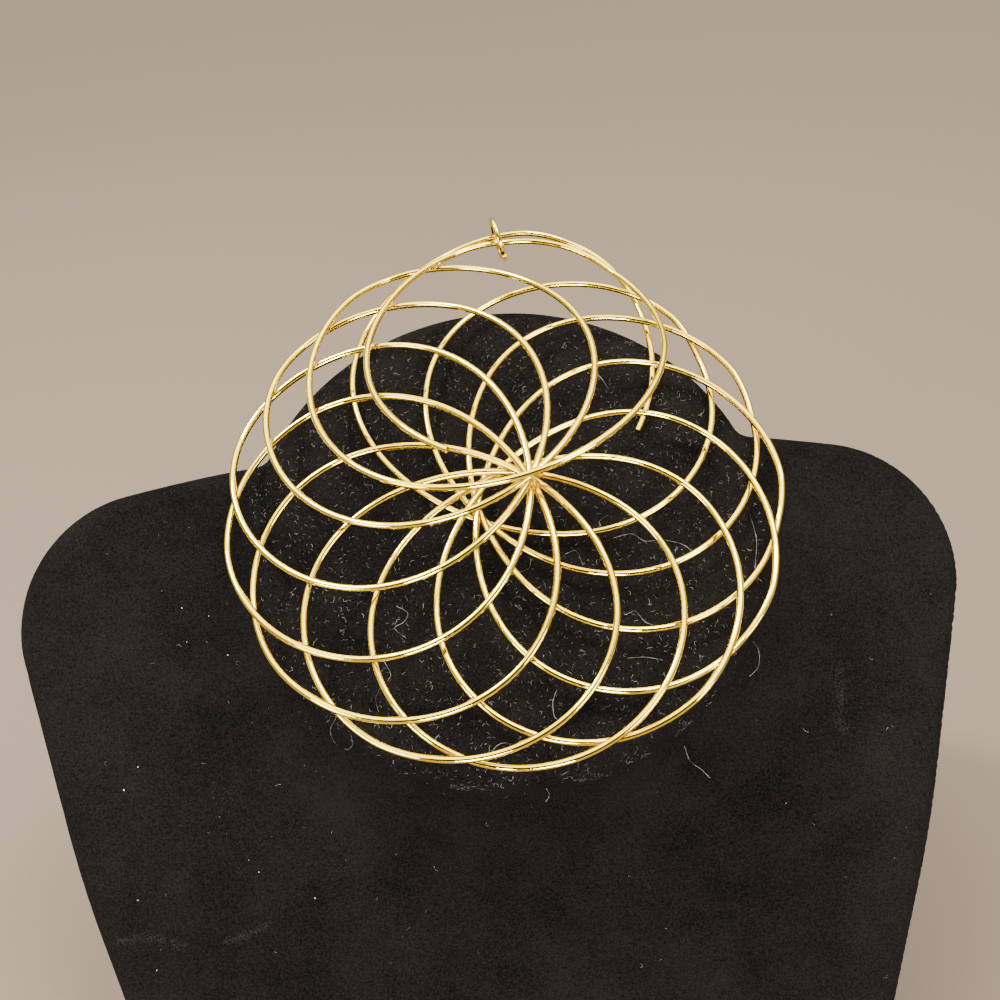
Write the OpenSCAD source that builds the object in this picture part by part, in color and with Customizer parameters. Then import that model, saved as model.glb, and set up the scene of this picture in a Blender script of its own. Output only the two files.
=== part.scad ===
// A pendant of one round wire wound into overlapping loops that fan round into a flower, with a jump
// ring on its top loop, lying on the slanted end face of the neck of a velvet display bust.
// The origin is on the floor under the middle of the whole. +X is to the bust's left, +Y is to its back.

/* [Wire coil] */
// thickness of the round wire
wire_d = 1.4; // [1.2:0.05:1.45]
// loops that make one full round of the flower
petals = 13; // [13:1:13]
// direction of the first loop on the face, counted from the bust's left toward the top
first_bearing = 94.3; // [92.3:0.5:96.3]
// how far round the last loop's direction is from the first one's
fan = 334.5; // [332.5:0.5:336.5]
// length of a loop halfway along the wire, from the middle of the flower outward
loop_length = 61.5; // [60:0.5:63]
// how much longer the last loop is than the first, before the pull of the jump ring
length_growth = 10.7; // [9.7:0.5:12.2]
// width of a loop halfway along the wire
loop_width = 67; // [66:0.5:68]
// how much wider the last loop is than the first, before the pull of the jump ring
width_growth = 9.3; // [7.8:0.5:10.8]
// how far a loop halfway along the wire runs past the middle of the flower
past_centre = 3.2; // [3:0.1:3.4]
// height that one loop adds where all the loops cross
stack_pitch = 1.58; // [1.57:0.01:1.8]
// height that one loop adds at the rim
rim_pitch = 0.26; // [0.24:0.01:0.4]
// how far the stack leans to the bust's left for each millimetre of height
lean_left = 0.4; // [0.35:0.05:0.45]
// how far the stack leans down the slope for each millimetre of height
lean_down = 0.2; // [0.15:0.05:0.25]

/* [Jump ring] */
// outside diameter of the jump ring
ring_od = 11; // [10.6:0.1:11.4]
// thickness of its wire
ring_wire_d = 1.3; // [1:0.1:1.4]
// how far the ring tips over from standing square to the wires, with its outer edge to the bust's right
ring_lean = 10; // [6:1:13]
// how far the ring is turned about the upright on the face, with its upper edge to the bust's right
ring_turn = 4; // [0:1:6]

/* [Display bust] */
// width of the bust across the shoulders
bust_w = 202; // [197:1:207]
// width of the bust at the floor
foot_w = 138; // [132:1:146]
// height of the top edge of the shoulders
shoulder_h = 145; // [144:1:146]
// slope of the upper chest from level
chest_slope = 50; // [49:1:53]
// slope of the lower chest from level
chest_foot_slope = 62; // [58:1:66]
// height of the middle of the neck's end face
face_h = 137; // [132:1:142]
// slope of the neck's end face from level
face_slope = 27.5; // [25:0.5:30]
// diameter of the neck's end face
face_d = 110; // [108:1:113]

/* [Hidden] */

$fn = 96;

// The whole is moved so that the origin is under the middle of its outer box.
middle_x = -3.9;
middle_y = -5.712;

// Where the coil sits on the face, from the middle of the face to the middle of the flower.
coil_right = -1.9;
coil_up = 6.6;
// Clear space between the lowest wire and the velvet.
coil_gap = 0.1;

// The wire starts and ends a little inside a loop. Turns are counted in loops from the middle.
first_turn = 0.1;
last_turn = 13.8;
// Half the turn that a loop takes to sink from lying on top of its neighbour to lying under it.
turnover = 0.03;
// The thirteenth loop sinks later, because the jump ring pulls the last one out past it.
late_loop = 12;
late_by = 0.05;
// A loop lies this many wires above or below its own level, beside the rim only.
rim_lift = 0.6;
rim_radius = 64;
rim_from = 0.7;
rim_full = 0.92;
// From the first loop to the last, they run further past the middle and shift to their own left.
past_growth = 6.2;
side_growth = 9.3;
// Loops at the top of the flower are longer and set out further past the middle.
top_length = 2.4;
top_past = 1.9;
// A loop is a little fuller at its inner end than at its tip.
inner_fullness = 0.055;

// The jump ring pulls the first and last loops out, wide, to one side and askew, by these
// millimetres, and the pull fades over a number of turns.
// columns: turns to fade, longer, wider, to the left, askew
first_pull = [1.17, 9.6, 12.6, -1.1, -4.8];
last_pull = [0.43, 10.7, 4.1, 4.2, -3.8];
FADE = 0;
LONGER = 1;
WIDER = 2;
LEFTWARD = 3;
ASKEW = 4;

coil_sides = 6;
rings_per_turn = 56;
coil_rings = round((last_turn - first_turn) * rings_per_turn);
// A six-sided wire has the round wire's own section area at this radius.
wire_r = wire_d / 2 * sqrt(2 * PI / (coil_sides * sin(360 / coil_sides)));

// The two places where the jump ring goes round the wire, in turns.
ring_turn_first = 0.519;
ring_turn_last = 13.437;

function clamp(v, lo, hi) = min(hi, max(lo, v));
function hill(v, spread) = exp(-pow(v / spread, 2));

// Share of the way along the wire, from -0.5 at the first loop's tip to 0.5 at the last one's.
function share(t) = (t - 0.5) / petals - 0.5;
function bearing(t) = first_bearing + fan / petals * (t - 0.5);
// 1 for the loops at the top of the flower and -1 for those at its foot.
function topness(t) = cos(360 / petals * (t - 0.5));
// What the jump ring adds at a place on the wire, for one column of its pull.
function pull(t, column) = first_pull[column] * hill(t - 0.5, first_pull[FADE])
    + last_pull[column] * hill(t - 0.5 - petals, last_pull[FADE]);
function length_at(t) = loop_length + length_growth * share(t) + top_length * topness(t)
    + pull(t, LONGER);
function width_at(t) = loop_width + width_growth * share(t) + pull(t, WIDER);
function past_at(t) = past_centre + past_growth * share(t) + top_past * topness(t);

// A loop is an oval that starts and ends at the middle and points along its bearing.
function along(t) = length_at(t) / 2 * (1 - cos(360 * t)) - past_at(t) + pull(t, ASKEW) * sin(360 * t);
function across(t) = width_at(t) / 2 * sin(360 * t) * (1 + inner_fullness * cos(360 * t))
    + side_growth * share(t) + pull(t, LEFTWARD);
function flat_point(t) = [
    along(t) * cos(bearing(t)) - across(t) * sin(bearing(t)),
    along(t) * sin(bearing(t)) + across(t) * cos(bearing(t))];

// Earlier loops lie over later ones: the loops stack up where they all cross, and at the rim the
// side of a loop that leaves the middle lies over the side of the next that comes back.
function sink_at(t) = 0.5 + (floor(t) == late_loop ? late_by : 0);
function over_under(t) = clamp((sink_at(t) - (t - floor(t))) / turnover, -1, 1);
function rim_share(r) = clamp((r / rim_radius - rim_from) / (rim_full - rim_from), 0, 1);
function dome(r) = max(0, 1 - pow(r / rim_radius, 2));
function level(t, r) = wire_r + coil_gap + rim_lift * wire_d
    + (last_turn - t) * (rim_pitch + (stack_pitch - rim_pitch) * dome(r))
    + rim_lift * wire_d * over_under(t) * rim_share(r);

function raised(p, w) = [p.x + lean_left * w, p.y - lean_down * w, w];
function coil_point(t) = raised(flat_point(t), level(t, norm(flat_point(t))));

function unit(v) = v / norm(v);
// One section of the wire: a small polygon square to the wire's run.
function section(t, step) =
    let (run = unit(coil_point(t + step) - coil_point(t - step)),
        side = unit(cross(run, [0, 0, 1])),
        top = cross(side, run))
    [for (k = [0:coil_sides - 1])
        let (a = 360 * (k + 0.5) / coil_sides)
        coil_point(t) + wire_r * (cos(a) * side + sin(a) * top)];

// A closed tube through rings of points, with a flat cut at each end.
module tube(rings) {
    n = len(rings);
    m = len(rings[0]);
    sides = [for (i = [0:n - 2], k = [0:m - 1], half = [0, 1])
        let (a = i * m + k, b = i * m + (k + 1) % m)
        half == 0 ? [a, b, b + m] : [a, b + m, a + m]];
    polyhedron(
        points = [for (ring = rings, p = ring) p],
        faces = concat(sides, [[for (k = [m - 1:-1:0]) k]], [[for (k = [0:m - 1]) (n - 1) * m + k]]),
        convexity = 20);
}

// Puts what lies flat in the flower's own frame onto the slanted end face of the neck.
module on_face(right = 0, up = 0) {
    translate([-middle_x, -middle_y, face_h])
        rotate([face_slope, 0, 0])
            translate([right, up, 0])
                children();
}

module wire_coil() {
    step = (last_turn - first_turn) / coil_rings;
    color("gold")
        on_face(coil_right, coil_up)
            tube([for (i = [0:coil_rings]) section(first_turn + i * step, step / 4)]);
}

// The jump ring goes round the two runs of wire that it holds together and leans against them.
module jump_ring() {
    first = coil_point(ring_turn_first);
    last = coil_point(ring_turn_last);
    step = 0.001;
    run = unit(coil_point(ring_turn_first + step) - first + coil_point(ring_turn_last + step) - last);
    color("goldenrod")
        on_face(coil_right, coil_up)
            translate((first + last) / 2)
                rotate([0, acos(run.z) - ring_lean, atan2(run.y, run.x) + ring_turn])
                    rotate_extrude()
                        translate([(ring_od - ring_wire_d) / 2, 0])
                            circle(d = ring_wire_d, $fn = 32);
}

// The torso seen from the side: front foot, back foot, top of the flat back, the thin top edge of
// the shoulders, and the bend of the chest. The back falls away behind the top edge.
// columns: depth, height, radius
edge_r = 6;
edge_h = shoulder_h + edge_r / 2;
edge_y = 16.2;
bend_h = 80;
bend_y = edge_y - (edge_h - bend_h) / tan(chest_slope);
foot_y = bend_y - bend_h / tan(chest_foot_slope);
back_y = 53;
back_h = 112;
side_corners = [
    [foot_y, 0, 3],
    [back_y, 0, 3],
    [back_y, back_h, 16],
    [edge_y, edge_h, edge_r],
    [bend_y, bend_h, 120]];

// The chest's outline seen square to the upper chest, counted from the top edge down the slope. The
// shoulders fall a little from the neck outward. A shoulder's sharp corner stands outside the
// widest place, which its rounding leaves below it.
// columns: across, up the slope, radius
shoulder_out = 5.2;
shoulder_fall = 13.1;
shoulder_r = 28;
neck_side = 38;
foot_down = 177;
chest_corners = [
    [foot_w / 2, -foot_down, 0.1],
    [bust_w / 2 + shoulder_out, -shoulder_fall, shoulder_r],
    [neck_side, 0, 1],
    [-neck_side, 0, 1],
    [-bust_w / 2 - shoulder_out, -shoulder_fall, shoulder_r],
    [-foot_w / 2, -foot_down, 0.1]];

// The torso's flanks seen from the front, which keep its back as narrow as its chest.
// columns: across, height, radius
flank_h = 122;
flank_corners = [
    [foot_w / 2 + 0.5, 0, 3],
    [bust_w / 2 + 0.5, flank_h, 30],
    [bust_w / 2 + 0.5, 2 * shoulder_h, 1],
    [-bust_w / 2 - 0.5, 2 * shoulder_h, 1],
    [-bust_w / 2 - 0.5, flank_h, 30],
    [-foot_w / 2 - 0.5, 0, 3]];

// Rounds the corners of an outline with short arcs.
function corner_arc(a, b, c, r, n = 8) =
    let (u = unit(a - b), v = unit(c - b),
        half = acos(clamp(u * v, -1, 1)) / 2,
        reach = min(r / tan(half), norm(a - b) / 2.05, norm(c - b) / 2.05),
        radius = reach * tan(half),
        hub = b + unit(u + v) * radius / sin(half),
        from = b + u * reach - hub,
        to = b + v * reach - hub,
        sweep = acos(clamp(unit(from) * unit(to), -1, 1)),
        turn = from.x * to.y - from.y * to.x > 0 ? 1 : -1)
    [for (i = [0:n])
        let (g = turn * sweep * i / n)
        hub + [from.x * cos(g) - from.y * sin(g), from.x * sin(g) + from.y * cos(g)]];
function flat(p) = [p.x, p.y];
function rounded(c) = [for (i = [0:len(c) - 1])
    each corner_arc(flat(c[(i + len(c) - 1) % len(c)]), flat(c[i]), flat(c[(i + 1) % len(c)]), c[i][2])];

lip_r = 3;
neck_waist = 1;
neck_depth = 70;
// The neck spreads with a hollow round before it meets the chest.
flare_from = 18;
flare_r = 16;
flare_turn = 68;
// How far the neck stands to the bust's left of the torso's middle.
neck_shift = 3.9;
// How far the middle of the end face is from the spot that the coil is placed by, to the bust's
// left and up the slope.
face_left = 1.3;
face_up = 1.7;

// Half the neck's outline, from its end face down into the torso, spun round the neck's own axis.
module neck_profile() {
    waist_r = face_d / 2 - neck_waist;
    flare = [for (i = [0:8])
        let (g = flare_turn * i / 8)
        [waist_r + flare_r * (1 - cos(g)), -flare_from - flare_r * sin(g)]];
    root_r = flare[8].x;
    polygon(concat(
        [[0, 0], [face_d / 2 - lip_r, 0], [face_d / 2, -lip_r], [waist_r, -4 * lip_r]],
        flare,
        [[root_r, -neck_depth], [0, -neck_depth]]));
    translate([face_d / 2 - lip_r, -lip_r])
        circle(lip_r, $fn = 32);
}

module torso() {
    reach = 2 * bust_w;
    intersection() {
        translate([-neck_shift, edge_y, edge_h])
            rotate([chest_slope, 0, 0])
                translate([0, 0, -reach])
                    linear_extrude(reach + edge_r)
                        polygon(rounded(chest_corners));
        translate([-neck_shift, reach / 2, 0])
            rotate([90, 0, 0])
                linear_extrude(reach)
                    polygon(rounded(flank_corners));
        rotate([90, 0, 90])
            translate([0, 0, -reach / 2])
                linear_extrude(reach)
                    polygon(rounded(side_corners));
    }
}

module neck_bust() {
    color("dimgray")
        translate([-middle_x, -middle_y, 0])
            union() {
                torso();
                difference() {
                    translate([0, 0, face_h])
                        rotate([face_slope, 0, 0])
                            translate([face_left, face_up, 0])
                                rotate_extrude($fn = 128)
                                    neck_profile();
                    translate([-bust_w / 2, back_y, 0])
                        cube([bust_w, bust_w, 2 * shoulder_h]);
                }
            }
}

neck_bust();
wire_coil();
jump_ring();
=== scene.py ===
"""A wire flower pendant on a velvet neck bust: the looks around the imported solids."""
import math
import random

import bmesh
import bpy
import numpy as np
from mathutils import Matrix, Vector
from mathutils.bvhtree import BVHTree


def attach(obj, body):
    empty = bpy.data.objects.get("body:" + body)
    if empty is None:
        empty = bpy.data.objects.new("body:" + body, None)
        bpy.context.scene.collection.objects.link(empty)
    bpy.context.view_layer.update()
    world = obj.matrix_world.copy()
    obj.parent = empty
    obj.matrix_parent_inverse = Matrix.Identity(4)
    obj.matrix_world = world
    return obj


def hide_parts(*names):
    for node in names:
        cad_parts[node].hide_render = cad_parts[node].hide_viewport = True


bl_info = {
    "name": "Wire flower pendant",
    "version": (1, 0, 0),
    "blender": (4, 5, 0),
    "location": "View3D > Sidebar > Pendant",
    "description": "Makes a coiled wire pendant on a velvet neck bust around its packed solids",
    "category": "Object",
}

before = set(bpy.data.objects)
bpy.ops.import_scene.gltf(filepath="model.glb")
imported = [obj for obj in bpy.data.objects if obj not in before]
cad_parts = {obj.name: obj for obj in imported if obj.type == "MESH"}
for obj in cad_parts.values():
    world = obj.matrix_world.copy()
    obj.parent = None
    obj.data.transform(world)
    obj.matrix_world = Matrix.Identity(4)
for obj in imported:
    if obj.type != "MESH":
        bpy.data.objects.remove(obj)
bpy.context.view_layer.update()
MM = 0.001

# The spot on the neck's end face that the coil is placed by, in the row frame in millimetres, and
# the face's slope from level and radius.
FACE_CENTRE = (3.9, 5.712, 137.0)
FACE_SLOPE = 27.5
FACE_RADIUS = 55.0
# The middle of the end face from that spot, to the bust's left and up the slope.
FACE_LEFT, FACE_UP = 1.3, 1.7

# The photograph's frame and where the camera stood, in millimetres and degrees.
PHOTO_PIXELS = 1000
CAMERA_PLACE = (4.11, -164.185, 262.1)
CAMERA_DOWN = 35.0
CAMERA_ROLL = 4.25
LENS, SENSOR = 36.0, 36.0
# The lens's length in pixels of the photograph.
PHOTO_FOCUS = PHOTO_PIXELS * LENS / SENSOR


# Node trees.

def with_other(kind):
    """A method that adds a Math node fed by its number and then by the other value."""
    def method(self, other):
        return self.op(kind, other)
    return method


def after_other(kind):
    """A method that adds a Math node fed by the other value and then by its number."""
    def method(self, other):
        node = self.tree.add("ShaderNodeMath", {"operation": kind}, {0: other, 1: self})
        return Num(self.tree, node.outputs[0])
    return method


def alone(kind):
    """A method that adds a Math node fed by its number alone."""
    def method(self):
        return self.op(kind)
    return method


class Num:
    """One number socket of a node tree; arithmetic on it adds Math nodes."""

    def __init__(self, tree, socket):
        self.tree = tree
        self.socket = socket

    def op(self, kind, *others):
        """Adds a Math node fed by this number and then the others, and gives its result."""
        node = self.tree.add("ShaderNodeMath", {"operation": kind})
        for place, value in enumerate((self, *others)):
            self.tree.feed(node.inputs[place], value)
        return Num(self.tree, node.outputs[0])

    __add__ = __radd__ = with_other("ADD")
    __mul__ = __rmul__ = with_other("MULTIPLY")
    __sub__ = with_other("SUBTRACT")
    __rsub__ = after_other("SUBTRACT")
    __truediv__ = with_other("DIVIDE")
    __rtruediv__ = after_other("DIVIDE")
    at_least = with_other("MAXIMUM")
    at_most = with_other("MINIMUM")
    sin = alone("SINE")
    cos = alone("COSINE")
    exp = alone("EXPONENT")
    sqrt = alone("SQRT")
    floor = alone("FLOOR")
    frac = alone("FRACT")

    def __neg__(self):
        return self * -1.0

    def clamp(self, low, high):
        return self.at_least(low).at_most(high)

    def hill(self, spread):
        """1 at 0, falling smoothly to nothing a few spreads away."""
        share = self / spread
        return (-(share * share)).exp()

    def band(self, low, high):
        """0 below low, 1 above high, and a smooth rise between them."""
        share = ((self - low) / (high - low)).clamp(0.0, 1.0)
        return share * share * (3.0 - 2.0 * share)


class Tree:
    """A node tree with one way to add a node and one way to feed a socket."""

    def __init__(self, tree):
        self.tree = tree

    def add(self, kind, settings=None, inputs=None):
        """Adds a node of a type, sets its settings and then feeds its sockets."""
        node = self.tree.nodes.new(kind)
        for name, value in (settings or {}).items():
            setattr(node, name, value)
        for name, value in (inputs or {}).items():
            self.feed(node.inputs[name], value)
        return node

    def feed(self, socket, value):
        """Gives a socket a link or a value."""
        if isinstance(value, Num):
            self.tree.links.new(value.socket, socket)
        elif isinstance(value, bpy.types.NodeSocket):
            self.tree.links.new(value, socket)
        else:
            socket.default_value = value

    def out(self, node, name=0):
        """One output of a node, as a number."""
        return Num(self, node.outputs[name])

    def vector(self, x, y, z):
        return self.add("ShaderNodeCombineXYZ", None, {"X": x, "Y": y, "Z": z}).outputs[0]

    def mix_colour(self, share, first, second):
        """The first colour where share is 0, the second where it is 1, and a mix between."""
        node = self.add("ShaderNodeMix", {"data_type": "RGBA"}, {"Factor": share})
        first_socket, second_socket = [s for s in node.inputs if s.type == "RGBA"]
        self.feed(first_socket, (*first, 1.0) if isinstance(first, tuple) else first)
        self.feed(second_socket, (*second, 1.0) if isinstance(second, tuple) else second)
        return next(s for s in node.outputs if s.type == "RGBA")


def new_material(name):
    """A material with an empty tree but for its shader; gives it, the tree and the shader."""
    material = bpy.data.materials.new(name)
    material.use_nodes = True
    material.node_tree.nodes.clear()
    tree = Tree(material.node_tree)
    shader = tree.add("ShaderNodeBsdfPrincipled")
    tree.add("ShaderNodeOutputMaterial", None, {"Surface": shader.outputs[0]})
    return material, tree, shader


def new_geometry_tree(name, inputs):
    """A geometry tree with named inputs; gives the tree, its input node and its output node."""
    group = bpy.data.node_groups.new(name, "GeometryNodeTree")
    sockets = group.interface
    sockets.new_socket("Geometry", in_out="INPUT", socket_type="NodeSocketGeometry")
    for label, kind in inputs:
        sockets.new_socket(label, in_out="INPUT", socket_type=kind)
    sockets.new_socket("Geometry", in_out="OUTPUT", socket_type="NodeSocketGeometry")
    tree = Tree(group)
    return tree, tree.add("NodeGroupInput"), tree.add("NodeGroupOutput")


def end_tree(tree, sink, geometry, material):
    """Realizes what the tree made, gives it its material and joins it to the output."""
    real = tree.add("GeometryNodeRealizeInstances", None, {"Geometry": geometry})
    done = tree.add("GeometryNodeSetMaterial", None,
                    {"Geometry": real.outputs[0], "Material": material})
    tree.feed(sink.inputs[0], done.outputs[0])


def mesh_object(name, mesh, material=None):
    """A new object in the scene, at the origin, with a mesh and its material."""
    obj = bpy.data.objects.new(name, mesh)
    bpy.context.scene.collection.objects.link(obj)
    if material:
        mesh.materials.clear()
        mesh.materials.append(material)
    return obj


def finished_mesh(holder, name):
    """The plain mesh that an object's modifier makes; the object is removed."""
    bpy.context.view_layer.update()
    graph = bpy.context.evaluated_depsgraph_get()
    mesh = bpy.data.meshes.new_from_object(holder.evaluated_get(graph))
    mesh.name = name
    bpy.data.objects.remove(holder)
    if not mesh.polygons:
        raise RuntimeError(name + " came out with no faces")
    return mesh


def run_tree(name, tree, values, base=None):
    """Runs a geometry tree as a modifier and keeps its result as a plain mesh."""
    holder = mesh_object(name + "_maker", base or bpy.data.meshes.new(name + "_base"))
    modifier = holder.modifiers.new("maker", "NODES")
    modifier.node_group = tree.tree
    for item in tree.tree.interface.items_tree:
        if item.in_out == "INPUT" and item.name in values:
            modifier[item.identifier] = values[item.name]
    return finished_mesh(holder, name)


def shade_smooth(mesh):
    mesh.polygons.foreach_set("use_smooth", [True] * len(mesh.polygons))
    mesh.update()


def points_of(mesh):
    """A mesh's points, one row for each."""
    points = np.zeros(len(mesh.vertices) * 3)
    mesh.vertices.foreach_get("co", points)
    return points.reshape(-1, 3)


def edges_of(mesh):
    """The numbers of the two points that each edge of a mesh joins, one row for each."""
    pairs = np.zeros(len(mesh.edges) * 2, dtype=np.int64)
    mesh.edges.foreach_get("vertices", pairs)
    return pairs.reshape(-1, 2)


def ramp(value, low, high):
    """The smooth rise from 0 at low to 1 at high, on arrays."""
    share = np.clip((value - low) / (high - low), 0.0, 1.0)
    return share * share * (3.0 - 2.0 * share)


# Places on the object.

def face_frame():
    """The frame of the spot on the neck's end face: right, up the slope and out of it."""
    turn = Matrix.Rotation(math.radians(FACE_SLOPE), 4, "X")
    return Matrix.Translation(Vector(FACE_CENTRE) * MM) @ turn


def camera_axes():
    """The camera's right, up and forward directions."""
    down, roll = math.radians(CAMERA_DOWN), math.radians(CAMERA_ROLL)
    level_up = Vector((0.0, math.sin(down), math.cos(down)))
    forward = Vector((0.0, math.cos(down), -math.sin(down)))
    right = math.cos(roll) * Vector((1, 0, 0)) - math.sin(roll) * level_up
    return right, right.cross(forward), forward


def photo_ray(across, down):
    """The direction from the camera through a pixel of the photograph."""
    right, up, forward = camera_axes()
    half = PHOTO_PIXELS / 2
    return (forward + (across - half) / PHOTO_FOCUS * right
            - (down - half) / PHOTO_FOCUS * up).normalized()


# Sizes and colours a user would change.

class PENDANT_PG_coil(bpy.types.PropertyGroup):
    """Sizes of the wire coil, as in the solid, in millimetres and degrees, and its colour."""
    wire: bpy.props.FloatProperty(
        name="Wire", description="Thickness of the round wire", default=1.4)
    petals: bpy.props.FloatProperty(
        name="Petals", description="Loops in one full round of the flower", default=13.0)
    first_bearing: bpy.props.FloatProperty(
        name="First bearing", description="Direction of the first loop", default=94.3)
    fan: bpy.props.FloatProperty(
        name="Fan", description="How far round the last loop is from the first", default=334.5)
    loop_length: bpy.props.FloatProperty(
        name="Loop length", description="Length of a loop halfway along the wire", default=61.5)
    length_growth: bpy.props.FloatProperty(
        name="Length growth", description="How much longer the last loop is", default=10.7)
    loop_width: bpy.props.FloatProperty(
        name="Loop width", description="Width of a loop halfway along the wire", default=67.0)
    width_growth: bpy.props.FloatProperty(
        name="Width growth", description="How much wider the last loop is", default=9.3)
    past_centre: bpy.props.FloatProperty(
        name="Past centre", description="How far a loop runs past the middle", default=3.2)
    colour: bpy.props.FloatVectorProperty(
        name="Gold", description="Colour of the gold wash", subtype="COLOR", size=3,
        default=(1.0, 0.78, 0.08))


class PENDANT_PG_velvet(bpy.types.PropertyGroup):
    """Looks of the velvet and of what has settled on it."""
    colour: bpy.props.FloatVectorProperty(
        name="Velvet", description="Colour of the pile", subtype="COLOR", size=3,
        default=(0.0036, 0.0030, 0.0026))
    grain: bpy.props.FloatProperty(
        name="Grain", description="Size of one tuft of the pile", default=0.00045,
        subtype="DISTANCE", unit="LENGTH")
    lint: bpy.props.IntProperty(
        name="Lint", description="Curled fibres for each square centimetre of the neck's face",
        default=64)


# Materials.

# Sizes of blotches in metres, the values of a noise between which one look passes into the next,
# and what a colour is multiplied by.
GOLD_CLOUD, GOLD_CLOUD_BAND = 0.012, (0.35, 0.7)
GOLD_SPECK, GOLD_SPECK_BAND = 0.0008, (0.45, 0.75)
GOLD_DEEP = (0.92, 0.82, 0.66)
# The roughness of the gold, and how much its specks add.
GOLD_SMOOTH, GOLD_HAZE = 0.06, 0.10
VELVET_BRUSHED, VELVET_PATCH = 0.012, 0.05
VELVET_DARK, VELVET_PALE = 0.2, 2.0
# How strongly the velvet's tufts and its broad blotches show, and how high the brushed ones stand
# beside the tufts.
TUFT_CONTRAST, BROAD_CONTRAST = 3.2, 0.9
BRUSHED_HEIGHT = 0.6
# The worn scuffs and a painted lit edge of a shade: how much they show, the band of the pile's noise
# they show in, and their pale colour.
SCUFF_AND_LIT_EDGE_SHARE, SCUFF_AND_LIT_EDGE_BAND = 0.3, (0.42, 0.62)
SCUFF_AND_LIT_EDGE_COLOUR = (0.035, 0.032, 0.029)
LINT_BLOTCH, LINT_BAND = 0.003, (0.3, 0.7)
LINT_DARK, LINT_PALE = (0.03, 0.028, 0.026), (0.42, 0.39, 0.36)
FLOOR_BLOTCH, FLOOR_DEEP = 0.2, 0.985


def object_point(tree):
    return tree.add("ShaderNodeTexCoord").outputs["Object"]


def noise(tree, point, size, detail=2.0, rough=0.5):
    """Noise whose blotches are about size metres across."""
    node = tree.add("ShaderNodeTexNoise", {"noise_dimensions": "3D"},
                    {"Vector": point, "Scale": 1.0 / size, "Detail": detail, "Roughness": rough})
    return tree.out(node)


def gold_material(name, colour):
    """Polished gold wash with faint clouds of deeper gold and tiny dull specks."""
    material, tree, shader = new_material(name)
    point = object_point(tree)
    cloud = noise(tree, point, GOLD_CLOUD)
    speck = noise(tree, point, GOLD_SPECK, 3.0)
    deep = tuple(c * k for c, k in zip(colour, GOLD_DEEP))
    tree.feed(shader.inputs["Base Color"],
              tree.mix_colour(cloud.band(*GOLD_CLOUD_BAND), tuple(colour), deep))
    tree.feed(shader.inputs["Metallic"], 1.0)
    tree.feed(shader.inputs["Roughness"], GOLD_SMOOTH + GOLD_HAZE * speck.band(*GOLD_SPECK_BAND))
    bump = tree.add("ShaderNodeBump", None,
                    {"Strength": 0.3, "Distance": 0.00003, "Height": speck})
    tree.feed(shader.inputs["Normal"], bump.outputs[0])
    return material


def velvet_material(name, velvet):
    """Black pile with pale and dark tufts, brushed blotches, the worn scuffs and a painted pale line
    along the lit edge of a shade.
    """
    material, tree, shader = new_material(name)
    point = object_point(tree)
    pile = noise(tree, point, velvet.grain, 3.0, 0.7)
    brushed = noise(tree, point, VELVET_BRUSHED, 4.0, 0.6)
    patch = noise(tree, point, VELVET_PATCH)
    light = (0.5 + TUFT_CONTRAST * (pile - 0.5) + BROAD_CONTRAST * (brushed - 0.5)
             + BROAD_CONTRAST * (patch - 0.5))
    base = tuple(velvet.colour)
    dark, pale = (tuple(c * k for c in base) for k in (VELVET_DARK, VELVET_PALE))
    nap = tree.mix_colour(light.clamp(0.0, 1.0), dark, pale)
    # This attribute holds the worn scuffs and a painted pale line along the lit edge of a shade.
    scuff_and_lit_edge = tree.add("ShaderNodeAttribute", {"attribute_name": "scuff_and_lit_edge"})
    worn_and_lit = tree.out(scuff_and_lit_edge, "Fac") * pile.band(*SCUFF_AND_LIT_EDGE_BAND)
    tree.feed(shader.inputs["Base Color"],
              tree.mix_colour(SCUFF_AND_LIT_EDGE_SHARE * worn_and_lit, nap, SCUFF_AND_LIT_EDGE_COLOUR))
    tree.feed(shader.inputs["Roughness"], 0.95)
    tree.feed(shader.inputs["Specular IOR Level"], 0.05)
    height = pile + BRUSHED_HEIGHT * brushed
    bump = tree.add("ShaderNodeBump", None,
                    {"Strength": 0.5, "Distance": 0.0003, "Height": height})
    tree.feed(shader.inputs["Normal"], bump.outputs[0])
    return material


def lint_material(name, bright=1.0):
    """Lint that is dark in some places and pale in others."""
    material, tree, shader = new_material(name)
    shade = noise(tree, object_point(tree), LINT_BLOTCH)
    dark, pale = (tuple(c * bright for c in colour) for colour in (LINT_DARK, LINT_PALE))
    tree.feed(shader.inputs["Base Color"], tree.mix_colour(shade.band(*LINT_BAND), dark, pale))
    tree.feed(shader.inputs["Roughness"], 0.7)
    return material


def stage_material(name, colour):
    """A plain matte floor with barely deeper blotches."""
    material, tree, shader = new_material(name)
    cloud = noise(tree, object_point(tree), FLOOR_BLOTCH)
    tree.feed(shader.inputs["Base Color"],
              tree.mix_colour(cloud, tuple(colour), tuple(c * FLOOR_DEEP for c in colour)))
    tree.feed(shader.inputs["Roughness"], 0.8)
    return material


# The velvet neck bust.

# The skin's mesh: its voxels and the merging of doubles in metres, the rounds of settling it on the
# outlines, the rounds of evening it out in each, the step that finds a slope, in millimetres, and
# the least square of a slope that is divided by.
BUST_VOXEL = 0.0013
SAME_PLACE = 1e-6
SETTLE_ROUNDS = 8
RELAX_ROUNDS = 2
NUDGE = 0.01
LEAST_STEEP = 0.25

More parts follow.
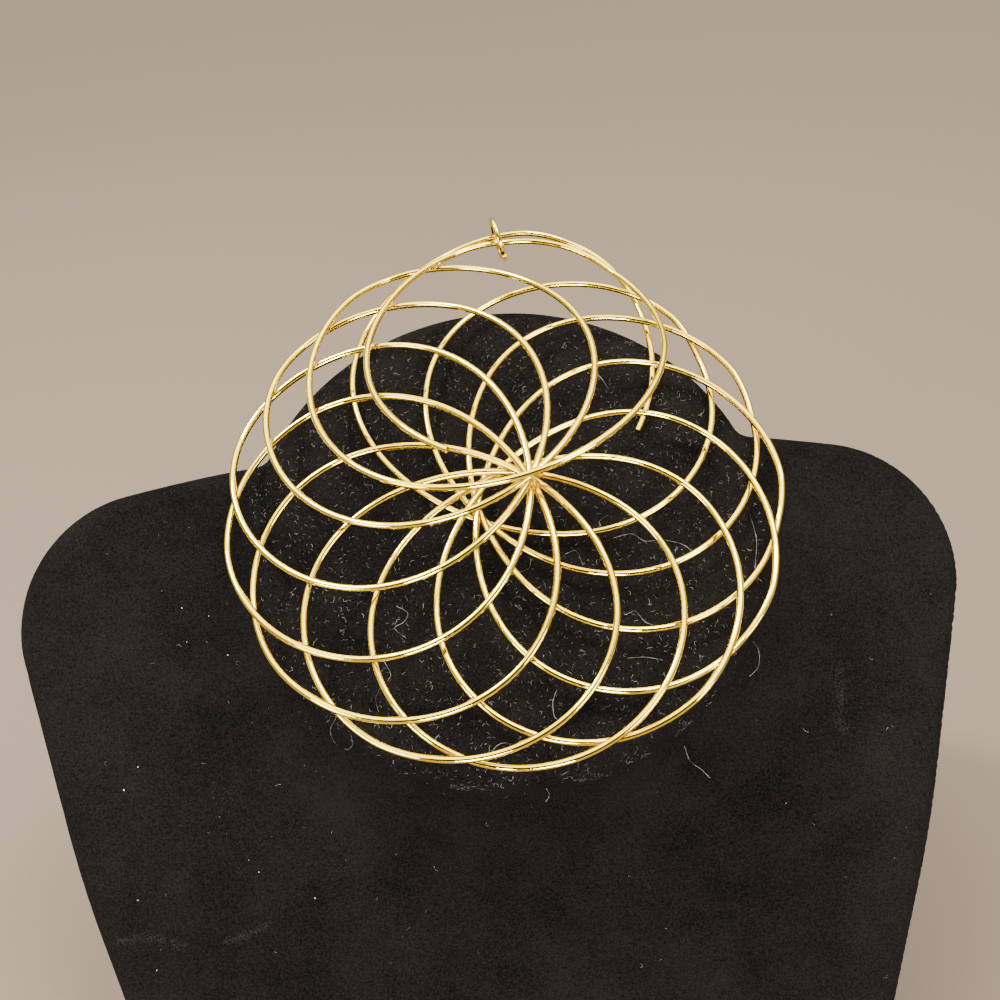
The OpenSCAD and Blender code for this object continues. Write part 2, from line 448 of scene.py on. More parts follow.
# The torso's outlines and the neck, as in the solid, in millimetres and degrees. The ones with a
# name in R are radii.
TORSO_Y = 5.712
SHOULDER_HALF, FOOT_HALF = 101.0, 69.0
SHOULDER_OUT, SHOULDER_FALL, SHOULDER_R = 5.2, 13.1, 28.0
NECK_SIDE, CHEST_FOOT = 38.0, -177.0
FOOT_R, SHARP_R, CHEST_FOOT_R = 3.0, 1.0, 0.1
CHEST_SLOPE, CHEST_FOOT_SLOPE = 50.0, 62.0
EDGE_Y, EDGE_H, EDGE_R = 16.2, 148.0, 6.0
BEND_H, BEND_R = 80.0, 120.0
BEND_Y = EDGE_Y - (EDGE_H - BEND_H) / math.tan(math.radians(CHEST_SLOPE))
FOOT_Y = BEND_Y - BEND_H / math.tan(math.radians(CHEST_FOOT_SLOPE))
BACK_Y, BACK_H, BACK_R = 53.0, 112.0, 16.0
BACK_EDGE_R = 2.0
# The flanks stand a little outside the chest and run on below the floor, which is cut straight.
FLANK_CLEAR, BEYOND = 0.5, 50.0
FLANK_H, FLANK_R = 122.0, 30.0
FLANK_RUN = (SHOULDER_HALF - FOOT_HALF) / FLANK_H
# Each corner of an outline: two places and a radius, in anticlockwise order.
SIDE_CORNERS = (
    (FOOT_Y, 0.0, FOOT_R), (BACK_Y, 0.0, FOOT_R), (BACK_Y, BACK_H, BACK_R),
    (EDGE_Y, EDGE_H, EDGE_R), (BEND_Y, BEND_H, BEND_R))
SHOULDER_SIDE = SHOULDER_HALF + SHOULDER_OUT
CHEST_CORNERS = (
    (FOOT_HALF, CHEST_FOOT, CHEST_FOOT_R), (SHOULDER_SIDE, -SHOULDER_FALL, SHOULDER_R),
    (NECK_SIDE, 0.0, SHARP_R), (-NECK_SIDE, 0.0, SHARP_R),
    (-SHOULDER_SIDE, -SHOULDER_FALL, SHOULDER_R), (-FOOT_HALF, CHEST_FOOT, CHEST_FOOT_R))
FLANK_FOOT = FOOT_HALF + FLANK_CLEAR - BEYOND * FLANK_RUN
FLANK_SIDE = SHOULDER_HALF + FLANK_CLEAR
FLANK_TOP = 2 * EDGE_H
FLANK_CORNERS = (
    (FLANK_FOOT, -BEYOND, FOOT_R), (FLANK_SIDE, FLANK_H, FLANK_R),
    (FLANK_SIDE, FLANK_TOP, SHARP_R), (-FLANK_SIDE, FLANK_TOP, SHARP_R),
    (-FLANK_SIDE, FLANK_H, FLANK_R), (-FLANK_FOOT, -BEYOND, FOOT_R))
NECK_WAIST, NECK_DEPTH = 1.0, 70.0
# The velvet's rounded edges on the torso and at the neck's lip, and what it adds to the outlines
# of both, because the rounding takes it away.
TORSO_EDGE_R, LIP_R = 3.5, 4.5
TORSO_SKIN, NECK_SKIN = 1.5, 0.9
# The hollow round where the neck meets the torso is small near the end face and full from a depth
# on, so it is wide on the chest and narrow at the shoulders.
FILLET_R = 20.0
FILLET_LEAST = 2.0
FILLET_DEPTHS = (4.0, 22.0)


def outline_reach(across, up, corners):
    """How far points lie outside an outline that has rounded corners and no hollows."""
    corners = np.array(corners)
    spots = corners[:, :2]
    after = np.roll(spots, -1, axis=0) - spots
    after /= np.linalg.norm(after, axis=1)[:, None]
    before = np.roll(after, 1, axis=0)
    sides = np.array([(across - spot[0]) * way[1] - (up - spot[1]) * way[0]
                      for spot, way in zip(spots, after)])
    out = sides.max(axis=0)
    for i, (spot, come, go, radius) in enumerate(zip(spots, before, after, corners[:, 2])):
        inward = (go - come) / np.linalg.norm(go - come)
        half_turn = math.acos(float(np.clip(come @ go, -1.0, 1.0))) / 2
        hub = spot + inward * radius / math.cos(half_turn)
        x, y = across - hub[0], up - hub[1]
        in_corner = (x * come[0] + y * come[1] > 0) & (x * go[0] + y * go[1] < 0)
        other_sides = np.delete(sides, [i - 1, i], axis=0).max(axis=0)
        out = np.where(in_corner, np.maximum(np.hypot(x, y) - radius, other_sides), out)
    return out


def within_both(first, second, radius):
    """What two shapes share, with the edge between them rounded."""
    outer = np.hypot(np.maximum(first + radius, 0.0), np.maximum(second + radius, 0.0))
    return np.minimum(np.maximum(first, second), -radius) + outer


def within_either(first, second, radius):
    """Two shapes joined, with a hollow round between them."""
    inner = np.hypot(np.maximum(radius - first, 0.0), np.maximum(radius - second, 0.0))
    return np.maximum(np.minimum(first, second), radius) - inner


def velvet_reach(points):
    """How far points lie outside the velvet, in millimetres."""
    x, y, z = (points / MM).T
    y = y - TORSO_Y
    slope = math.radians(CHEST_SLOPE)
    up_chest = (y - EDGE_Y) * math.cos(slope) + (z - EDGE_H) * math.sin(slope)
    outline = np.maximum(outline_reach(x, up_chest, CHEST_CORNERS),
                         outline_reach(x, z, FLANK_CORNERS))
    torso = within_both(outline - TORSO_SKIN, outline_reach(y, z, SIDE_CORNERS), TORSO_EDGE_R)
    reach, depth, _ = face_places(points)
    side = reach - FACE_RADIUS - NECK_SKIN + NECK_WAIST * ramp(depth, LIP_R, 4 * LIP_R)
    neck = np.maximum(within_both(side, -depth, LIP_R), depth - NECK_DEPTH)
    hollow = FILLET_LEAST + (FILLET_R - FILLET_LEAST) * ramp(depth, *FILLET_DEPTHS)
    return within_both(within_either(torso, neck, hollow), y - BACK_Y, BACK_EDGE_R)


def onto_velvet(points):
    """Moves points straight onto the velvet's surface, nearly all the way."""
    off = velvet_reach(points)
    slope = np.stack([(velvet_reach(points + step) - off) / NUDGE
                      for step in np.eye(3) * NUDGE * MM], axis=1)
    steep = np.maximum((slope * slope).sum(axis=1), LEAST_STEEP)
    return points - (off / steep)[:, None] * slope * MM


def relax(points, edges, rounds):
    """Moves each point halfway toward the mean of its neighbours, a number of times."""
    count = len(points)
    a, b = edges[:, 0], edges[:, 1]
    share = np.bincount(a, minlength=count) + np.bincount(b, minlength=count)
    for _ in range(rounds):
        mean = np.empty_like(points)
        for axis in range(3):
            total = (np.bincount(a, points[b, axis], count)
                     + np.bincount(b, points[a, axis], count))
            mean[:, axis] = total / share
        points = points + 0.5 * (mean - points)
    return points


def face_places(points):
    """How far each point is from the neck's axis, how deep below the end face and where, in mm."""
    turn = np.array(face_frame().inverted())
    local = (points @ turn[:3, :3].T + turn[:3, 3]) / MM - (FACE_LEFT, FACE_UP, 0.0)
    return np.hypot(local[:, 0], local[:, 1]), -local[:, 2], local


# Pale scuffs on the chest and a painted lit edge of a shade, each a run of pixels of the photograph.
SCUFF_AND_LIT_EDGE_RUNS = (
    ((117, 942), (136, 938), (155, 938), (185, 947)),
    ((225, 942), (248, 934), (268, 925)),
    # The last run is no scuff: it is a painted pale line along the lit edge of a shade.
    ((837, 670), (840, 697), (840, 723), (847, 730)),
)
SCUFF_AND_LIT_EDGE_WIDE = 3.0


def photo_places(points):
    """The pixels of the photograph where points would show."""
    right, up, forward = (np.array(axis) for axis in camera_axes())
    away = points - np.array(CAMERA_PLACE) * MM
    ahead = away @ forward
    half = PHOTO_PIXELS / 2
    return half + PHOTO_FOCUS * (away @ right) / ahead, half - PHOTO_FOCUS * (away @ up) / ahead


def scuff_and_lit_edge_share(points):
    """How much each point shows the pale scuffs and the painted lit edge, from 0 to 1."""
    across, down = photo_places(points)
    nearest = np.full(len(points), np.inf)
    for run in SCUFF_AND_LIT_EDGE_RUNS:
        for (x0, y0), (x1, y1) in zip(run, run[1:]):
            length = (x1 - x0) ** 2 + (y1 - y0) ** 2
            along = ((across - x0) * (x1 - x0) + (down - y0) * (y1 - y0)) / length
            along = np.clip(along, 0.0, 1.0)
            gap = np.hypot(across - x0 - along * (x1 - x0), down - y0 - along * (y1 - y0))
            nearest = np.minimum(nearest, gap)
    return np.exp(-(nearest / SCUFF_AND_LIT_EDGE_WIDE) ** 2)


def voxel_skin(node, name):
    """An even skin of small faces round a solid of the frame."""
    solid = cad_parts[node].data.copy()
    merged = bmesh.new()
    merged.from_mesh(solid)
    bmesh.ops.remove_doubles(merged, verts=merged.verts, dist=SAME_PLACE)
    merged.to_mesh(solid)
    merged.free()
    holder = mesh_object(name + "_maker", solid)
    remesh = holder.modifiers.new("skin", "REMESH")
    remesh.mode = "VOXEL"
    remesh.voxel_size = BUST_VOXEL
    return finished_mesh(holder, name)


class PENDANT_OT_bust(bpy.types.Operator):
    """Make the velvet skin of the neck bust, with the hollow round where neck meets chest"""
    bl_idname = "pendant.bust"
    bl_label = "Neck bust"

    def execute(self, context):
        velvet = context.scene.pendant_velvet
        mesh = voxel_skin("neck_bust", "velvet_bust")
        points, edges = points_of(mesh), edges_of(mesh)
        for _ in range(SETTLE_ROUNDS):
            points = relax(points, edges, RELAX_ROUNDS)
            points = onto_velvet(onto_velvet(points))
        points[:, 2] = np.maximum(points[:, 2], 0.0)
        mesh.vertices.foreach_set("co", points.ravel())
        # The pale marks are worn scuffs, and one of them is a painted lit edge of a shade.
        scuff_and_lit_edge = mesh.attributes.new("scuff_and_lit_edge", "FLOAT", "POINT")
        scuff_and_lit_edge.data.foreach_set("value", scuff_and_lit_edge_share(points).astype(np.float32))
        obj = mesh_object("velvet_bust", mesh, velvet_material("black_velvet", velvet))
        shade_smooth(mesh)
        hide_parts("neck_bust")
        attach(obj, "root")
        return {"FINISHED"}


# The wire coil.

# The rule's other values, as in the solid: turns, millimetres and shares of a radius.
FIRST_TURN = 0.1
LAST_TURN = 13.8
COIL_PLACE = (-1.9, 6.6)
COIL_GAP = 0.1
SOLID_WIRE_R = 0.77
PAST_GROWTH = 6.2
SIDE_GROWTH = 9.3
TOP_LENGTH = 2.4
TOP_PAST = 1.9
INNER_FULLNESS = 0.055
# What the jump ring's pull adds to the first and last loops, and the turns over which it fades.
FIRST_PULL = {"fade": 1.17, "longer": 9.6, "wider": 12.6, "leftward": -1.1, "askew": -4.8}
LAST_PULL = {"fade": 0.43, "longer": 10.7, "wider": 4.1, "leftward": 4.2, "askew": -3.8}
STACK_PITCH = 1.58
RIM_PITCH = 0.26
RIM_LIFT = 0.6
RIM_RADIUS = 64.0
RIM_FROM, RIM_FULL = 0.7, 0.92
TURNOVER = 0.03
LATE_LOOP, LATE_BY = 12.0, 0.05
LEAN_LEFT, LEAN_DOWN = 0.4, 0.2
POINTS_PER_TURN = 110
WIRE_SIDES = 16
# The user's sizes that the rule takes as inputs.
COIL_SIZES = ("wire", "petals", "first_bearing", "fan", "loop_length", "length_growth",
              "loop_width", "width_growth", "past_centre")


def wire_tree():
    """The tree that works out the wire's run from its sizes and sweeps a round along it."""
    tree, source, sink = new_geometry_tree("wire_coil_rule", [
        *((name, "NodeSocketFloat") for name in COIL_SIZES), ("gold", "NodeSocketMaterial")])
    size = {name: tree.out(source, name) for name in COIL_SIZES}
    count = int((LAST_TURN - FIRST_TURN) * POINTS_PER_TURN)
    line = tree.add("GeometryNodeMeshLine", None, {"Count": count + 1})
    curve = tree.add("GeometryNodeMeshToCurve", None, {"Mesh": line.outputs[0]})
    t = FIRST_TURN + tree.out(tree.add("GeometryNodeInputIndex")) * ((LAST_TURN - FIRST_TURN) / count)
    turn = t - 0.5
    share = turn / size["petals"] - 0.5
    phase = t * math.tau
    bearing = (size["first_bearing"] + size["fan"] / size["petals"] * turn) * math.radians(1.0)
    topness = (turn * math.tau / size["petals"]).cos()
    first_near = turn.hill(FIRST_PULL["fade"])
    last_near = (turn - size["petals"]).hill(LAST_PULL["fade"])

    def pull(kind):
        return FIRST_PULL[kind] * first_near + LAST_PULL[kind] * last_near

    length = (size["loop_length"] + size["length_growth"] * share + TOP_LENGTH * topness
              + pull("longer"))
    width = size["loop_width"] + size["width_growth"] * share + pull("wider")
    past = size["past_centre"] + PAST_GROWTH * share + TOP_PAST * topness
    along = length * 0.5 * (1.0 - phase.cos()) - past + pull("askew") * phase.sin()
    across = (width * 0.5 * phase.sin() * (1.0 + INNER_FULLNESS * phase.cos())
              + SIDE_GROWTH * share + pull("leftward"))
    x = along * bearing.cos() - across * bearing.sin()
    y = along * bearing.sin() + across * bearing.cos()
    radius = (x * x + y * y).sqrt() / RIM_RADIUS
    dome = (1.0 - radius * radius).at_least(0.0)
    late = t.floor().op("COMPARE", LATE_LOOP, 0.5)
    over_under = ((0.5 + LATE_BY * late - t.frac()) / TURNOVER).clamp(-1.0, 1.0)
    rim = (radius - RIM_FROM) / (RIM_FULL - RIM_FROM)
    level = (SOLID_WIRE_R + COIL_GAP + RIM_LIFT * size["wire"]
             + (LAST_TURN - t) * (RIM_PITCH + (STACK_PITCH - RIM_PITCH) * dome)
             + RIM_LIFT * size["wire"] * over_under * rim.clamp(0.0, 1.0))
    place = tree.vector((x + LEAN_LEFT * level) * MM, (y - LEAN_DOWN * level) * MM, level * MM)
    bent = tree.add("GeometryNodeSetPosition", None,
                    {"Geometry": curve.outputs[0], "Position": place})
    profile = tree.add("GeometryNodeCurvePrimitiveCircle", {"mode": "RADIUS"},
                       {"Resolution": WIRE_SIDES, "Radius": size["wire"] * (0.5 * MM)})
    tube = tree.add("GeometryNodeCurveToMesh", None,
                    {"Curve": bent.outputs[0], "Profile Curve": profile.outputs[0],
                     "Fill Caps": True})
    end_tree(tree, sink, tube.outputs[0], source.outputs["gold"])
    return tree


class PENDANT_OT_coil(bpy.types.Operator):
    """Wind the pendant's wire by its rule, as one round wire with two cut ends"""
    bl_idname = "pendant.coil"
    bl_label = "Wire coil"

    def execute(self, context):
        sizes = context.scene.pendant_coil
        gold = gold_material("polished_gold_wire", sizes.colour)
        values = {name: getattr(sizes, name) for name in COIL_SIZES}
        mesh = run_tree("gold_wire_coil", wire_tree(), {**values, "gold": gold})
        right, up = COIL_PLACE
        mesh.transform(face_frame() @ Matrix.Translation((right * MM, up * MM, 0.0)))
        shade_smooth(mesh)
        obj = mesh_object("gold_wire_coil", mesh, gold)
        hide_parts("wire_coil")
        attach(obj, "root")
        return {"FINISHED"}


# The jump ring.

# The ring's wire, the gap between its ends and how far apart they stand sideways, in millimetres.
RING_TUBE = 1.3
RING_SEAM = 0.5
RING_OFFSET = 0.35
RING_STEPS = 96
RING_SIDES = 20


def sweep(name, points, radius, sides):
    """A round tube along open points, with closed ends."""
    points = [Vector(p) for p in points]
    rings, faces = [], []
    side = None
    for i, point in enumerate(points):
        run = (points[min(i + 1, len(points) - 1)] - points[max(i - 1, 0)]).normalized()
        if side is None:
            side = run.orthogonal().normalized()
        side = (side - side.dot(run) * run).normalized()
        top = run.cross(side)
        for k in range(sides):
            a = math.tau * k / sides
            rings.append(point + radius * (math.cos(a) * side + math.sin(a) * top))
    for i in range(len(points) - 1):
        for k in range(sides):
            n = (k + 1) % sides
            faces.append((i * sides + k, i * sides + n, (i + 1) * sides + n, (i + 1) * sides + k))
    faces.append(tuple(range(sides - 1, -1, -1)))
    faces.append(tuple(range((len(points) - 1) * sides, len(points) * sides)))
    mesh = bpy.data.meshes.new(name)
    mesh.from_pydata([tuple(r) for r in rings], [], faces)
    mesh.update()
    return mesh


class PENDANT_OT_ring(bpy.types.Operator):
    """Bend the jump ring round the top wires, with its two ends a little apart at the bottom"""
    bl_idname = "pendant.ring"
    bl_label = "Jump ring"

    def execute(self, context):
        points = points_of(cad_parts["jump_ring"].data)
        centre = (points.min(axis=0) + points.max(axis=0)) / 2
        _, _, axes = np.linalg.svd(points - centre, full_matrices=False)
        axis = Vector(axes[2]).normalized()
        slope_up = face_frame().to_3x3() @ Vector((0.0, 1.0, 0.0))
        up = (slope_up - slope_up.dot(axis) * axis).normalized()
        side = axis.cross(up)
        outside = max(abs(Vector(p - centre).dot(up)) for p in points)
        middle = outside - RING_TUBE * MM / 2
        seam = RING_SEAM * MM / middle
        turns = [seam / 2 + (math.tau - seam) * i / RING_STEPS for i in range(RING_STEPS + 1)]
        run = [Vector(centre) + middle * (-math.cos(a) * up + math.sin(a) * side)
               + (a / math.tau - 0.5) * RING_OFFSET * MM * axis for a in turns]
        mesh = sweep("gold_jump_ring", run, RING_TUBE * MM / 2, RING_SIDES)
        shade_smooth(mesh)
        gold = gold_material("polished_gold_ring", context.scene.pendant_coil.colour)
        obj = mesh_object("gold_jump_ring", mesh, gold)
        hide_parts("jump_ring")
        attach(obj, "root")
        return {"FINISHED"}


# Lint, specks and stray hairs on the velvet.

LINT_SEED = 7
# A fibre's half thickness in metres, the points along it and the range of its scale.
LINT_THICK = 0.00002
LINT_POINTS = 4
LINT_SCALES = (0.2, 0.95)
# How every fibre is tilted, and how far chance tilts each one more, in radians.
LINT_TILT = (0.25, 0.1, 0.0)
LINT_LEAN = 0.5
# The lint ends over these depths at the lip and this far past the face, and is thinner over these
# distances from the face and toward the bust's right, in millimetres.
LINT_LIP_DEPTHS, LINT_PAST_FACE = (1.0, 3.5), 3.0
LINT_NEAR, LINT_RIGHT = (6.0, 40.0), (-10.0, 60.0)
# The tangles of dust end over these depths.
TANGLE_DEPTHS = (5.0, 9.0)
# How thick the lint lies, with 1 on the face: near it, near it to the bust's right, and anywhere.
NEAR_SHARE, RIGHT_SHARE, LEAST_SHARE = 0.01, 0.03, 0.005
# No lint lies below these heights, in metres.
LINT_HEIGHTS = (0.02, 0.03)
SQUARE_CENTIMETRES = 10000.0  # in a square metre
# The curls of the fibres: radius in metres and angle swept in radians.
LINT_CURLS = ((0.0005, 2.8), (0.00035, 4.6), (0.0008, 1.7), (0.0003, 2.2), (0.0014, 1.1),
              (0.0006, 3.6))
# Stray hairs, each a run of pixels of the photograph that it passes over.
HAIR_RUNS = (
    ((683, 745), (689, 760), (700, 768), (709, 777)),
    ((545, 800), (549, 793), (546, 786)),
    ((627, 659), (645, 658), (663, 661)),
    ((625, 616), (635, 612), (644, 622), (653, 626)),
    ((557, 690), (553, 702), (554, 716), (559, 722)),
    ((337, 718), (332, 729), (337, 742), (348, 748), (354, 743), (352, 733)),
    ((748, 676), (757, 666), (757, 650), (751, 641)),
    ((590, 372), (600, 378), (608, 390)),
    ((397, 607), (408, 614), (404, 623), (395, 629), (406, 639)),
    ((613, 539), (631, 535), (645, 542), (663, 541), (681, 545), (692, 552)),
    ((531, 559), (529, 569), (520, 573)),
    ((749, 514), (756, 541), (754, 573), (760, 582)),
    ((608, 516), (599, 523), (604, 531)),
    ((565, 555), (576, 552), (583, 566)),
    ((385, 663), (391, 675), (388, 682)),
    ((380, 689), (376, 700), (379, 713)),
    ((492, 752), (499, 745), (508, 744), (514, 750)),
)
# Tangles of dust by the lip: the pixel of the photograph in the middle of each, its half widths
# across and down in pixels, and how much thicker the lint lies there than on the face.
DUST_SPOTS = (
    (472, 786, 24, 4, 4.0),
    (588, 776, 26, 4, 5.0),
    (640, 758, 20, 6, 2.0),
    (690, 728, 12, 12, 2.5),
    (735, 692, 8, 14, 2.5),
    (400, 770, 30, 6, 1.5),
)
# Single white specks on the chest, in pixels of the photograph, their radius in metres and the
# range of their stretch.
SPECK_PIXELS = ((138, 767), (187, 642), (209, 616), (207, 642), (228, 655), (182, 608), (124, 790),
                (157, 970), (259, 872), (315, 898), (138, 900), (249, 860), (786, 803))
SPECK_RADIUS = 0.00018
SPECK_STRETCH = (0.5, 1.3)
# A hair's half thickness and its height above the velvet, in metres.
HAIR_THICK = 0.000028
HAIR_LIFT = 0.0005
HAIR_SIDES = 5


def velvet_tree():
    """The bust's skin, as a tree that rays are cast at."""
    skin = bpy.data.objects["velvet_bust"].data
    return BVHTree.FromPolygons([v.co for v in skin.vertices],
                                [tuple(p.vertices) for p in skin.polygons])


def on_velvet(tree, pixel, lift):
    """The place on the velvet that shows at a pixel of the photograph, lifted off it."""
    origin = Vector(CAMERA_PLACE) * MM
    hit, normal, _, _ = tree.ray_cast(origin, photo_ray(*pixel))
    if hit is None:
        raise RuntimeError(f"nothing lies behind pixel {pixel}")
    return hit + normal * lift


def rounded_run(points, steps=6):
    """A smooth run through the points."""
    points = [points[0] * 2 - points[1], *points, points[-1] * 2 - points[-2]]
    run = []
    for a, b, c, d in zip(points, points[1:], points[2:], points[3:]):
        for i in range(steps):
            s = i / steps
            run.append(0.5 * (2 * b + (c - a) * s + (2 * a - 5 * b + 4 * c - d) * s * s
                              + (3 * b - a - 3 * c + d) * s ** 3))
    run.append(points[-2])
    return run


def lint_tree():
    """The tree that scatters curled fibres over the velvet by its lint attribute."""
    tree, source, sink = new_geometry_tree("velvet_lint_rule", [
        ("Per square metre", "NodeSocketFloat"), ("Half thickness", "NodeSocketFloat"),
        ("Fibre", "NodeSocketMaterial")])
    skin = source.outputs["Geometry"]
    weight = tree.add("GeometryNodeInputNamedAttribute", {"data_type": "FLOAT"}, {"Name": "lint"})
    spread = tree.add("GeometryNodeDistributePointsOnFaces", {"distribute_method": "RANDOM"}, {
        "Mesh": skin, "Seed": LINT_SEED,
        "Density": tree.out(weight) * tree.out(source, "Per square metre")})
    round_profile = tree.add("GeometryNodeCurvePrimitiveCircle", {"mode": "RADIUS"}, {
        "Resolution": 3, "Radius": source.outputs["Half thickness"]})
    join = tree.add("GeometryNodeJoinGeometry")
    for radius, sweep_angle in LINT_CURLS:
        arc = tree.add("GeometryNodeCurveArc", {"mode": "RADIUS"}, {
            "Resolution": LINT_POINTS, "Radius": radius, "Sweep Angle": sweep_angle})
        fibre = tree.add("GeometryNodeCurveToMesh", None, {
            "Curve": arc.outputs[0], "Profile Curve": round_profile.outputs[0],
            "Fill Caps": True})
        tilted = tree.add("GeometryNodeTransform", None, {
            "Geometry": fibre.outputs[0], "Rotation": LINT_TILT})
        kind = tree.add("GeometryNodeGeometryToInstance", None, {"Geometry": tilted.outputs[0]})
        tree.feed(join.inputs[0], kind.outputs[0])
    turn = tree.add("FunctionNodeRandomValue", {"data_type": "FLOAT_VECTOR"}, {
        0: (-LINT_LEAN, -LINT_LEAN, 0.0), 1: (LINT_LEAN, LINT_LEAN, math.tau),
        "Seed": LINT_SEED + 1})
    bend = tree.add("FunctionNodeRotateRotation", {"rotation_space": "LOCAL"}, {
        "Rotation": spread.outputs["Rotation"], "Rotate By": turn.outputs[0]})
    size = tree.add("FunctionNodeRandomValue", {"data_type": "FLOAT"}, {
        2: LINT_SCALES[0], 3: LINT_SCALES[1], "Seed": LINT_SEED + 2})
    placed = tree.add("GeometryNodeInstanceOnPoints", None, {
        "Points": spread.outputs["Points"], "Instance": join.outputs[0],
        "Pick Instance": True, "Rotation": bend.outputs[0], "Scale": size.outputs[1]})
    end_tree(tree, sink, placed.outputs[0], source.outputs["Fibre"])
    return tree


def lint_share(points):
    """How thick the lint lies at each point, with 1 on the neck's face."""
    reach, depth, local = face_places(points)
    on_face = ((1.0 - ramp(depth, *LINT_LIP_DEPTHS))
               * (1.0 - ramp(reach, FACE_RADIUS, FACE_RADIUS + LINT_PAST_FACE)))
    across, down = photo_places(points)
    tangles = sum(thick * np.exp(-((across - x) / wide) ** 2 - ((down - y) / high) ** 2)
                  for x, y, wide, high, thick in DUST_SPOTS) * (1.0 - ramp(depth, *TANGLE_DEPTHS))
    near = 1.0 - ramp(reach - FACE_RADIUS, *LINT_NEAR)
    right = ramp(-local[:, 0], *LINT_RIGHT)
    share = on_face + tangles + (NEAR_SHARE + RIGHT_SHARE * right) * near + LEAST_SHARE
    return share * ramp(points[:, 2], *LINT_HEIGHTS)


def speck_mesh(tree):
    """All the white specks, each a small ball stretched at random."""
    chance = random.Random(LINT_SEED)
    specks = bmesh.new()
    for pixel in SPECK_PIXELS:
        stretch = Matrix.Diagonal([chance.uniform(*SPECK_STRETCH) for _ in range(3)]).to_4x4()
        place = Matrix.Translation(on_velvet(tree, pixel, SPECK_RADIUS / 2))
        bmesh.ops.create_icosphere(specks, subdivisions=1, radius=SPECK_RADIUS,
                                   matrix=place @ stretch)
    mesh = bpy.data.meshes.new("velvet_specks")
    specks.to_mesh(mesh)
    specks.free()
    return mesh


def hair_mesh(tree):
    """All the stray hairs, each a thin closed tube just above the velvet."""
    hairs = bmesh.new()
    for pixels in HAIR_RUNS:
        run = rounded_run([on_velvet(tree, pixel, HAIR_LIFT) for pixel in pixels])
        hairs.from_mesh(sweep("hair", run, HAIR_THICK, HAIR_SIDES))
    mesh = bpy.data.meshes.new("stray_hairs")
    hairs.to_mesh(mesh)
    hairs.free()
    shade_smooth(mesh)
    return mesh


class PENDANT_OT_lint(bpy.types.Operator):
    """Scatter lint on the velvet and lay the specks and stray hairs where they show"""
    bl_idname = "pendant.lint"
    bl_label = "Lint and hairs"

    def execute(self, context):
        velvet = context.scene.pendant_velvet
        fibre = lint_material("pale_lint")
        skin = bpy.data.objects["velvet_bust"].data.copy()
        lint = skin.attributes.new("lint", "FLOAT", "POINT")
        lint.data.foreach_set("value", lint_share(points_of(skin)).astype(np.float32))
        mesh = run_tree("velvet_lint", lint_tree(), {
            "Per square metre": velvet.lint * SQUARE_CENTIMETRES, "Half thickness": LINT_THICK,
            "Fibre": fibre}, skin)
        obj = mesh_object("velvet_lint", mesh, fibre)
        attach(obj, "root")
        tree = velvet_tree()
        obj = mesh_object("velvet_specks", speck_mesh(tree), lint_material("white_speck", 2.0))
        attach(obj, "root")
        obj = mesh_object("stray_hairs", hair_mesh(tree), fibre)
        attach(obj, "root")
        return {"FINISHED"}


# The stage.

FLOOR_REACH = 5.0
FLOOR_COLOUR = (0.142, 0.106, 0.075)
# Soft lights: place, aim and size in metres, and watts.
LIGHTS = {
    "key": ((-0.42, 0.12, 0.90), (0.0, 0.0, 0.12), 0.14, 13.0),
    "overhead": ((0.30, -0.15, 1.1), (0.0, 0.0, 0.1), 0.22, 7.0),
    "fill_left": ((-0.95, -0.95, 0.35), (0.0, 0.0, 0.08), 0.5, 16.0),
    "fill_right": ((1.05, -0.95, 0.35), (0.0, 0.0, 0.08), 0.5, 16.0),
    "low_front": ((0.0, -1.1, 0.12), (0.0, -0.05, 0.06), 0.4, 24.0),
}
LIGHT_COLOUR = (1.0, 0.97, 0.93)
WORLD_COLOUR = (1.0, 0.95, 0.88)
# The room's light from overhead and from the sides, and the heights of the directions, from 0 at
# the horizon to 1 overhead, between which one passes into the other.
OVERHEAD_STRENGTH = 5.8
SIDE_STRENGTH = 0.5
SIDE_HEIGHT, OVERHEAD_HEIGHT = 0.45, 0.92
# The room is dim toward the camera, from one angle off its direction to another, in degrees.
DIM_SHARE = 0.96
DIM_FULL, DIM_FREE = 24.0, 36.0


def studio_world():
    """A world that is bright overhead, dim at the sides and dimmer toward the camera."""
    world = bpy.data.worlds.new("studio")
    world.use_nodes = True
    back = world.node_tree.nodes["Background"]
    back.inputs["Color"].default_value = (*WORLD_COLOUR, 1.0)
    room = Tree(world.node_tree)
    to_camera = (Vector(CAMERA_PLACE) - Vector(FACE_CENTRE)).normalized()
    toward, height = (room.out(room.add(
        "ShaderNodeVectorMath", {"operation": "DOT_PRODUCT"},
        {0: room.add("ShaderNodeTexCoord").outputs["Generated"], 1: way}), "Value")
        for way in (to_camera, (0.0, 0.0, 1.0)))
    dim = toward.band(math.cos(math.radians(DIM_FREE)), math.cos(math.radians(DIM_FULL)))
    overhead = height.band(SIDE_HEIGHT, OVERHEAD_HEIGHT)
    light = SIDE_STRENGTH + (OVERHEAD_STRENGTH - SIDE_STRENGTH) * overhead
    room.feed(back.inputs["Strength"], light * (1.0 - DIM_SHARE * dim))
    return world


def photo_camera():
    """The camera, as it stood for the photograph."""
    camera = bpy.data.cameras.new("camera")
    camera.lens = LENS
    camera.sensor_width = SENSOR
    camera.clip_start = 0.01
    right, up, forward = camera_axes()
    turn = Matrix((right, up, -forward)).transposed()
    eye = bpy.data.objects.new("camera", camera)
    eye.matrix_world = Matrix.Translation(Vector(CAMERA_PLACE) * MM) @ turn.to_4x4()
    return eye


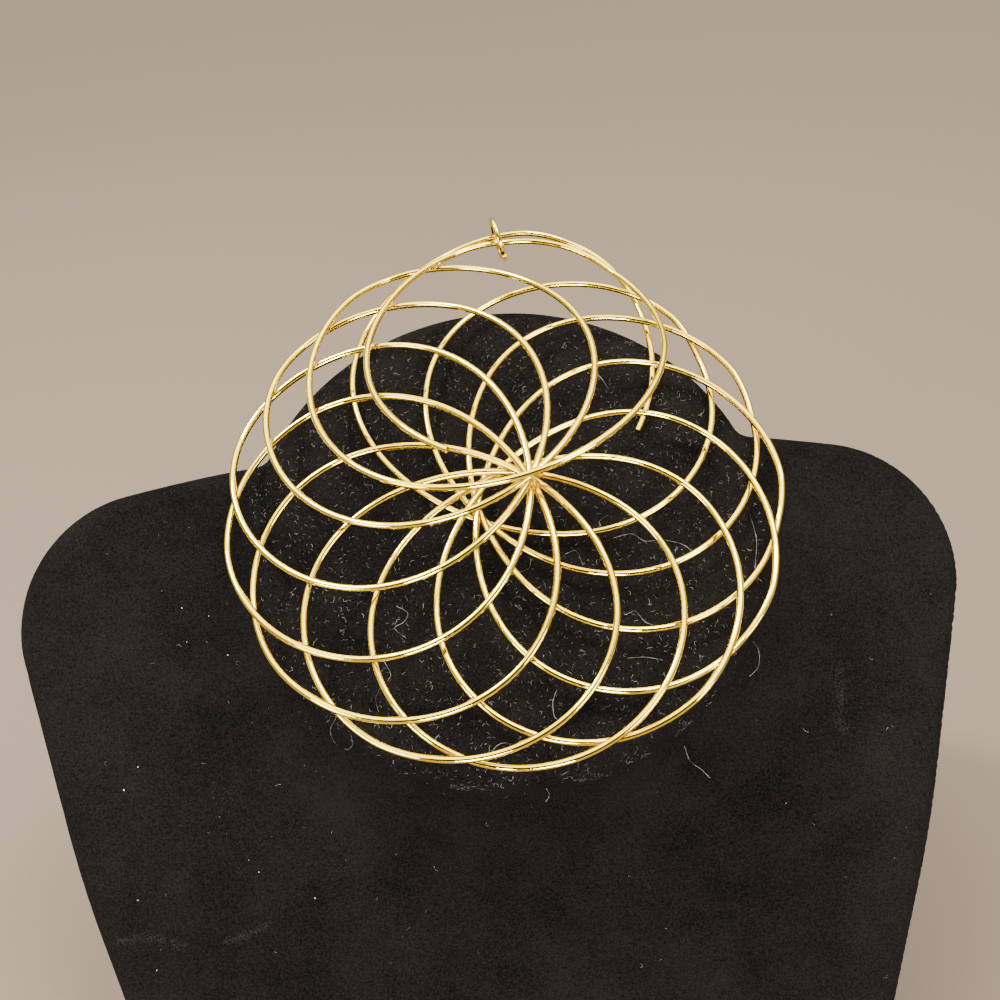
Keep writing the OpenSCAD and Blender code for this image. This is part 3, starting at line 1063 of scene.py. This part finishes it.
class PENDANT_OT_stage(bpy.types.Operator):
    """Set the plain floor, the soft lights, the room's light and the camera"""
    bl_idname = "pendant.stage"
    bl_label = "Stage"

    def execute(self, context):
        reach = FLOOR_REACH
        floor = bpy.data.meshes.new("floor")
        floor.from_pydata([(-reach, -reach, 0), (reach, -reach, 0), (reach, reach, 0),
                           (-reach, reach, 0)], [], [(0, 1, 2, 3)])
        obj = mesh_object("floor", floor, stage_material("plain_floor", FLOOR_COLOUR))
        for name, (place, aim, size, watts) in LIGHTS.items():
            light = bpy.data.lights.new(name, "AREA")
            light.shape = "DISK"
            light.size = size
            light.energy = watts
            light.color = LIGHT_COLOUR
            lamp = bpy.data.objects.new(name, light)
            lamp.location = place
            lamp.rotation_euler = (Vector(aim) - Vector(place)).to_track_quat("-Z", "Y").to_euler()
            context.scene.collection.objects.link(lamp)
        context.scene.world = studio_world()
        eye = photo_camera()
        context.scene.collection.objects.link(eye)
        context.scene.camera = eye
        return {"FINISHED"}


# The panel and the run.

class PENDANT_PT_panel(bpy.types.Panel):
    """Lists the steps that make the pendant"""
    bl_idname = "PENDANT_PT_panel"
    bl_label = "Wire flower pendant"
    bl_space_type = "VIEW_3D"
    bl_region_type = "UI"
    bl_category = "Pendant"

    def draw(self, context):
        for step in STEPS:
            self.layout.operator(step.bl_idname)
        for group in (context.scene.pendant_coil, context.scene.pendant_velvet):
            for name in group.bl_rna.properties.keys():
                if name not in ("rna_type", "name"):
                    self.layout.prop(group, name)


STEPS = (PENDANT_OT_stage, PENDANT_OT_bust, PENDANT_OT_coil, PENDANT_OT_ring, PENDANT_OT_lint)
GROUPS = {"pendant_coil": PENDANT_PG_coil, "pendant_velvet": PENDANT_PG_velvet}


def register():
    for cls in (*GROUPS.values(), *STEPS, PENDANT_PT_panel):
        bpy.utils.register_class(cls)
    for name, group in GROUPS.items():
        setattr(bpy.types.Scene, name, bpy.props.PointerProperty(type=group))


def unregister():
    for name in GROUPS:
        delattr(bpy.types.Scene, name)
    for cls in (PENDANT_PT_panel, *STEPS[::-1], *GROUPS.values()):
        bpy.utils.unregister_class(cls)


def main():
    register()
    for step in STEPS:
        space, name = step.bl_idname.split(".")
        getattr(getattr(bpy.ops, space), name)()


if __name__ == "__main__":
    main()
